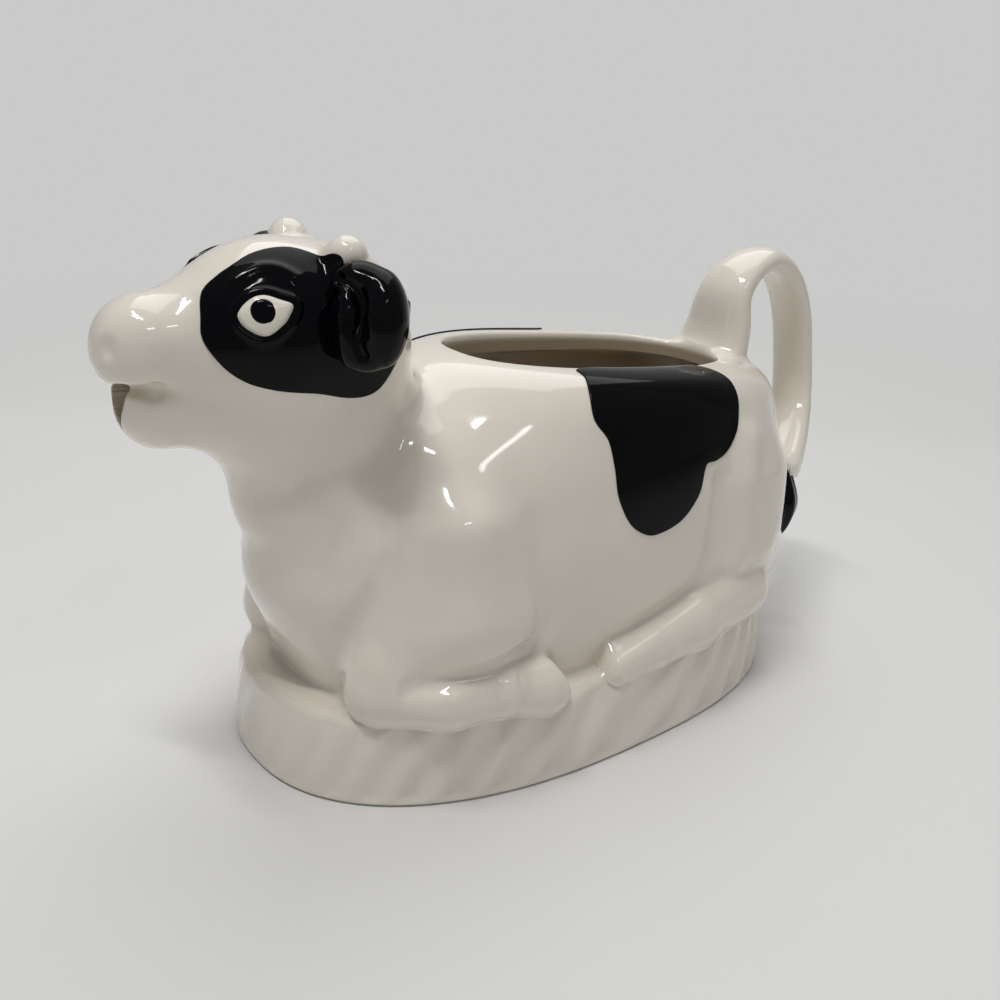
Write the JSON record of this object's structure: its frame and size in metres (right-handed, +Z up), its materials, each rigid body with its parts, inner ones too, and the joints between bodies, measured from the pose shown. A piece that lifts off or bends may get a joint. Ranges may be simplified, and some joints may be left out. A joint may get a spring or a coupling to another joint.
{
  "type": "cow creamer",
  "caption": "Glazed ceramic creamer shaped as a lying cow on an oval fluted plinth; filled through the open back, poured through the mouth and held by the tail.",
  "frame": {"origin": "middle of the plinth's flat resting face, on the table", "axes": "+Z up; the cow faces -X, so +X runs towards the tail; the cow's left flank is on -Y"},
  "size_m": [0.1752, 0.0774, 0.1009],
  "materials": {
    "cream_glaze": "gloss glaze over cast earthenware, warm cream white",
    "black_glaze": "gloss black glaze colour, laid on slightly thicker than the cream"
  },
  "bodies": {
    "root": {"plinth": "cream_glaze", "body_casting": "cream_glaze", "head_casting": "cream_glaze", "ear_left": "black_glaze", "ear_right": "black_glaze", "horn_left": "cream_glaze", "horn_right": "cream_glaze", "tail_handle": "cream_glaze", "tail_tuft": "black_glaze", "foreleg_left": "cream_glaze", "foreleg_right": "cream_glaze", "fore_hoof_left": "cream_glaze", "fore_hoof_right": "cream_glaze", "hind_leg_left": "cream_glaze", "hind_leg_right": "cream_glaze", "hind_hoof_left": "cream_glaze", "hind_hoof_right": "cream_glaze", "flank_patch_left": "black_glaze", "flank_patch_right": "black_glaze", "face_patch_left": "black_glaze", "face_patch_right": "black_glaze", "eye_white_left": "cream_glaze", "eye_white_right": "cream_glaze", "pupil_left": "black_glaze", "pupil_right": "black_glaze"}
  },
  "joints": []
}
